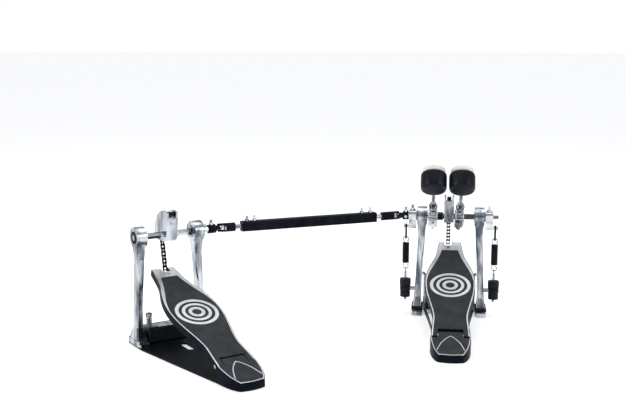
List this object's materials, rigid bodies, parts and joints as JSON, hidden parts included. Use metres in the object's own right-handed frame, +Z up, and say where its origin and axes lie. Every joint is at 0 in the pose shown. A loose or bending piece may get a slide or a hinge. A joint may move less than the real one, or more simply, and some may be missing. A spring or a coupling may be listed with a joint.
{
  "type": "bass drum pedal",
  "caption": "Twin bass drum pedal: a chain-drive primary pedal with sprung beaters and a slave pedal, joined by a universal-joint drive shaft.",
  "frame": {"origin": "floor under the middle of the primary pedal's axle", "axes": "+X along the primary axle to the player's right, +Y to the drum, +Z up"},
  "size_m": [0.6485, 0.5254, 0.3042],
  "materials": {
    "cast": "polished casting",
    "chrome": "bright",
    "board": "satin black enamel",
    "black_steel": "black oxide",
    "moulded": "satin moulded",
    "felt": "pressed felt",
    "steel": "plated",
    "knob": "moulded knurl"
  },
  "bodies": {
    "primary_frame": {"primary_post_left": "cast", "primary_post_right": "cast", "primary_cross_block": "cast", "primary_bearings": "steel", "primary_radius_rods": "steel", "primary_heel_plate": "board", "primary_hinge_pin": "steel"},
    "hoop_jaw": {"hoop_clamp_jaw": "cast"},
    "hoop_bolt": {"hoop_clamp_bolt": "chrome"},
    "main_shaft": {"main_axle": "chrome", "primary_cam": "cast", "right_beater_hub": "chrome", "right_rocker": "chrome", "main_axle_key_bolts": "chrome", "primary_chain_wrap": "black_steel"},
    "right_beater": {"right_beater_rod": "chrome", "right_beater_head": "moulded", "right_beater_felt": "felt"},
    "beater_shaft": {"slave_beater_shaft": "chrome", "left_beater_hub": "chrome", "left_rocker": "chrome", "joint_yoke_d": "black_steel"},
    "left_beater": {"left_beater_rod": "chrome", "left_beater_head": "moulded", "left_beater_felt": "felt"},
    "primary_board": {"primary_footboard": "board"},
    "slave_frame": {"slave_post_left": "cast", "slave_post_right": "cast", "slave_cross_block": "cast", "slave_bearings": "steel", "slave_base_plate": "black_steel", "slave_heel_plate": "board", "slave_hinge_pin": "steel"},
    "slave_shaft": {"slave_axle": "chrome", "slave_cam": "cast", "slave_chain_wrap": "black_steel", "joint_yoke_a": "black_steel"},
    "slave_board": {"slave_footboard": "board"},
    "drive_right": {"drive_tube": "black_steel", "drive_tube_key_bolts": "chrome", "joint_yoke_c": "black_steel"},
    "drive_left": {"joint_yoke_b": "black_steel"},
    "cross_left": {"joint_cross_left": "black_steel"},
    "cross_right": {"joint_cross_right": "black_steel"},
    "left_hook": {"left_spring_hook": "black_steel"},
    "left_spring_lower": {"left_spring_stud": "chrome", "left_tension_rod": "chrome"},
    "left_spring_top": {"left_spring": "black_steel"},
    "left_knobs": {"left_tension_knobs": "knob"},
    "right_hook": {"right_spring_hook": "black_steel"},
    "right_spring_lower": {"right_spring_stud": "chrome", "right_tension_rod": "chrome"},
    "right_spring_top": {"right_spring": "black_steel"},
    "right_knobs": {"right_tension_knobs": "knob"},
    "primary_chain_upper": {"primary_chain_upper": "black_steel"},
    "primary_chain_lower": {"primary_chain_lower": "black_steel"},
    "primary_chain_hanging": {"primary_chain_hanging": "black_steel"},
    "slave_chain_upper": {"slave_chain_upper": "black_steel"},
    "slave_chain_lower": {"slave_chain_lower": "black_steel"},
    "slave_chain_hanging": {"slave_chain_hanging": "black_steel"}
  },
  "joints": [
    {"name": "primary_pedal", "type": "hinge", "parent": "primary_frame", "child": "main_shaft", "pos_m": [0, 0, 0.188], "axis": [-1, 0, 0], "range_deg": [0, 52], "stiffness_Nm_per_rad": 1.2, "springref_deg": -28.65},
    {"name": "slave_distance", "type": "slide", "parent": "primary_frame", "child": "slave_frame", "axis": [-0.8846, -0.4663, 0], "range_m": [-0.01, 0.06]},
    {"name": "slave_pedal", "type": "hinge", "parent": "slave_frame", "child": "slave_shaft", "pos_m": [-0.4868, -0.2277, 0.188], "axis": [-0.7672, -0.6414, 0], "range_deg": [0, 52], "stiffness_Nm_per_rad": 1.2, "springref_deg": -28.65},
    {"name": "primary_board_hinge", "type": "hinge", "parent": "primary_frame", "child": "primary_board", "pos_m": [0, -0.235, 0.024], "axis": [-1, 0, 0], "range_deg": [0, 7.38]},
    {"name": "primary_chain_upper_pin", "type": "hinge", "parent": "main_shaft", "child": "primary_chain_upper", "pos_m": [-0.00335, 0.02267, 0.21467], "axis": [-1, 0, 0], "range_deg": [-17.87, 0]},
    {"name": "primary_chain_lower_pin", "type": "hinge", "parent": "primary_chain_upper", "child": "primary_chain_lower", "pos_m": [-0.00335, 0.03321, 0.19905], "axis": [-1, 0, 0], "range_deg": [-31.9, 0]},
    {"name": "primary_chain_hanging_pin", "type": "hinge", "parent": "primary_chain_lower", "child": "primary_chain_hanging", "pos_m": [-0.00335, 0.03413, 0.18023], "axis": [-1, 0, 0], "range_deg": [-15.98, 0]},
    {"name": "slave_board_hinge", "type": "hinge", "parent": "slave_frame", "child": "slave_board", "pos_m": [-0.33606, -0.40798, 0.024], "axis": [-0.7672, -0.6414, 0], "range_deg": [0, 7.36]},
    {"name": "slave_chain_upper_pin", "type": "hinge", "parent": "slave_shaft", "child": "slave_chain_upper", "pos_m": [-0.49802, -0.20882, 0.21548], "axis": [-0.7672, -0.6414, 0], "range_deg": [-14.77, 0]},
    {"name": "slave_chain_lower_pin", "type": "hinge", "parent": "slave_chain_upper", "child": "slave_chain_lower", "pos_m": [-0.50514, -0.2003, 0.20025], "axis": [-0.7672, -0.6414, 0], "range_deg": [-31.9, 0]},
    {"name": "slave_chain_hanging_pin", "type": "hinge", "parent": "slave_chain_lower", "child": "slave_chain_hanging", "pos_m": [-0.50617, -0.19907, 0.18148], "axis": [-0.7672, -0.6414, 0], "range_deg": [-15.98, 0]},
    {"name": "beater_shaft_turn", "type": "hinge", "parent": "primary_frame", "child": "beater_shaft", "pos_m": [0, 0, 0.188], "axis": [-1, 0, 0], "range_deg": [0, 54.54]},
    {"name": "drive_right_turn", "type": "hinge", "parent": "primary_frame", "child": "drive_right", "pos_m": [-0.0997, 0, 0.188], "axis": [-0.8846, -0.4663, 0], "range_deg": [0, 52.83]},
    {"name": "drive_left_turn", "type": "hinge", "parent": "slave_frame", "child": "drive_left", "pos_m": [-0.41031, -0.16375, 0.188], "axis": [-0.8846, -0.4663, 0], "range_deg": [0, 52.83]},
    {"name": "cross_left_pin", "type": "hinge", "parent": "slave_shaft", "child": "cross_left", "pos_m": [-0.41031, -0.16375, 0.188], "axis": [0.5765, -0.6895, 0.4384], "range_deg": [-6.66, 0]},
    {"name": "cross_right_pin", "type": "hinge", "parent": "beater_shaft", "child": "cross_right", "pos_m": [-0.0997, 0, 0.188], "axis": [0, -0.8988, 0.4384], "range_deg": [0, 14.72]},
    {"name": "left_hook_pin", "type": "hinge", "parent": "beater_shaft", "child": "left_hook", "pos_m": [-0.0835, -0.003, 0.168], "axis": [-1, 0, 0], "range_deg": [-61.2, 0]},
    {"name": "left_spring_swing", "type": "hinge", "parent": "primary_frame", "child": "left_spring_lower", "pos_m": [-0.0835, -0.003, 0.047], "axis": [-1, 0, 0], "range_deg": [-6.71, 0]},
    {"name": "left_spring_stretch", "type": "slide", "parent": "left_spring_lower", "child": "left_spring_top", "axis": [0, 0, 1], "range_m": [0, 0.0125], "deforming": ["left_spring"]},
    {"name": "left_tension_knob_turn", "type": "hinge", "parent": "left_spring_lower", "child": "left_knobs", "pos_m": [-0.0835, -0.003, 0.047], "axis": [0, 0, 1], "range_deg": [-180, 180]},
    {"name": "left_beater_height", "type": "slide", "parent": "beater_shaft", "child": "left_beater", "axis": [0, -0.8192, 0.5736], "range_m": [-0.01, 0.02]},
    {"name": "right_hook_pin", "type": "hinge", "parent": "main_shaft", "child": "right_hook", "pos_m": [0.0835, -0.003, 0.168], "axis": [-1, 0, 0], "range_deg": [-59.58, 0]},
    {"name": "right_spring_swing", "type": "hinge", "parent": "primary_frame", "child": "right_spring_lower", "pos_m": [0.0835, -0.003, 0.047], "axis": [-1, 0, 0], "range_deg": [-6.54, 0]},
    {"name": "right_spring_stretch", "type": "slide", "parent": "right_spring_lower", "child": "right_spring_top", "axis": [0, 0, 1], "range_m": [0, 0.0125], "deforming": ["right_spring"]},
    {"name": "right_tension_knob_turn", "type": "hinge", "parent": "right_spring_lower", "child": "right_knobs", "pos_m": [0.0835, -0.003, 0.047], "axis": [0, 0, 1], "range_deg": [-180, 180]},
    {"name": "right_beater_height", "type": "slide", "parent": "main_shaft", "child": "right_beater", "axis": [0, -0.8192, 0.5736], "range_m": [-0.01, 0.02]},
    {"name": "hoop_clamp_hinge", "type": "hinge", "parent": "primary_frame", "child": "hoop_jaw", "pos_m": [0, 0.007, 0.034], "axis": [1, 0, 0], "range_deg": [0, 10]},
    {"name": "hoop_bolt_travel", "type": "slide", "parent": "primary_frame", "child": "hoop_bolt", "axis": [0, 0, 1], "range_m": [0, 0.0033]}
  ],
  "couplings": [
    {"joint": "primary_board_hinge", "follows": "primary_pedal", "ratio": 0.13819},
    {"joint": "primary_chain_upper_pin", "follows": "primary_pedal", "ratio": -0.3359},
    {"joint": "primary_chain_lower_pin", "follows": "primary_pedal", "ratio": -0.60054},
    {"joint": "primary_chain_hanging_pin", "follows": "primary_pedal", "ratio": -0.30027},
    {"joint": "slave_board_hinge", "follows": "slave_pedal", "ratio": 0.13784},
    {"joint": "slave_chain_upper_pin", "follows": "slave_pedal", "ratio": -0.27757},
    {"joint": "slave_chain_lower_pin", "follows": "slave_pedal", "ratio": -0.60054},
    {"joint": "slave_chain_hanging_pin", "follows": "slave_pedal", "ratio": -0.30027},
    {"joint": "beater_shaft_turn", "follows": "slave_pedal", "ratio": 1.0273},
    {"joint": "drive_right_turn", "follows": "slave_pedal", "ratio": 0.99515},
    {"joint": "drive_left_turn", "follows": "slave_pedal", "ratio": 0.99515},
    {"joint": "cross_left_pin", "follows": "slave_pedal", "ratio": -0.12454},
    {"joint": "cross_right_pin", "follows": "slave_pedal", "ratio": 0.27656},
    {"joint": "left_hook_pin", "follows": "slave_pedal", "ratio": -1.153},
    {"joint": "left_spring_swing", "follows": "slave_pedal", "ratio": -0.12564},
    {"joint": "left_spring_stretch", "follows": "slave_pedal", "m_per_rad": 0.012296},
    {"joint": "right_hook_pin", "follows": "primary_pedal", "ratio": -1.1223},
    {"joint": "right_spring_swing", "follows": "primary_pedal", "ratio": -0.1223},
    {"joint": "right_spring_stretch", "follows": "primary_pedal", "m_per_rad": 0.011969},
    {"joint": "hoop_bolt_travel", "follows": "hoop_clamp_hinge", "m_per_rad": 0.0175}
  ]
}
